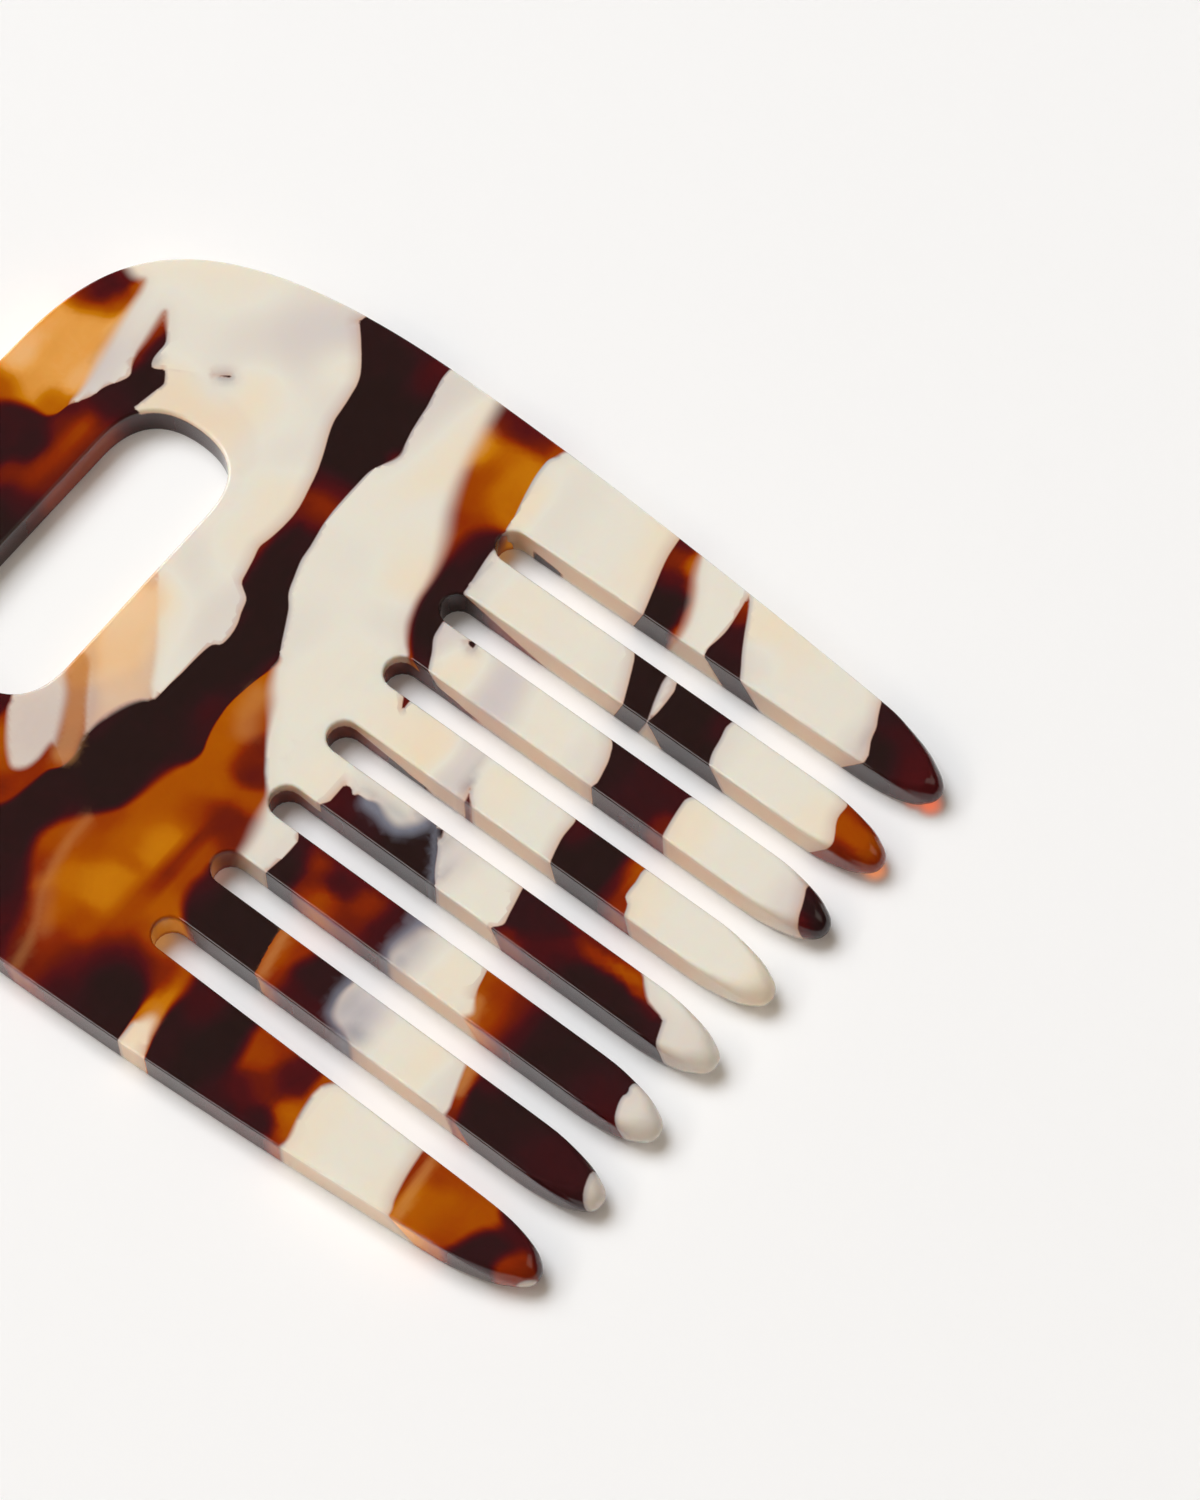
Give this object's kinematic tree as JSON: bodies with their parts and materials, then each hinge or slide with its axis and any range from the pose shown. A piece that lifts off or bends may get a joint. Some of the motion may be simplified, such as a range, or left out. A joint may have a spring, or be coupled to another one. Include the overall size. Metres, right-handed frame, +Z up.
{
  "type": "wide-tooth comb",
  "caption": "Flat wide-tooth hair comb cut from one sheet of polished acetate, with a long hand hole behind its rounded teeth.",
  "frame": {"origin": "middle of the comb's length and width, at its flat underside", "axes": "+Y along the teeth, from the back of the comb to the tips; +Z up through the sheet's thickness; +X across the teeth"},
  "size_m": [0.0894, 0.1198, 0.0049],
  "materials": {
    "polished_acetate": "polished cellulose acetate, ivory with tortoiseshell pieces in amber, rust, oxblood and dark brown"
  },
  "bodies": {
    "root": {"comb_body": "polished_acetate"}
  },
  "joints": []
}
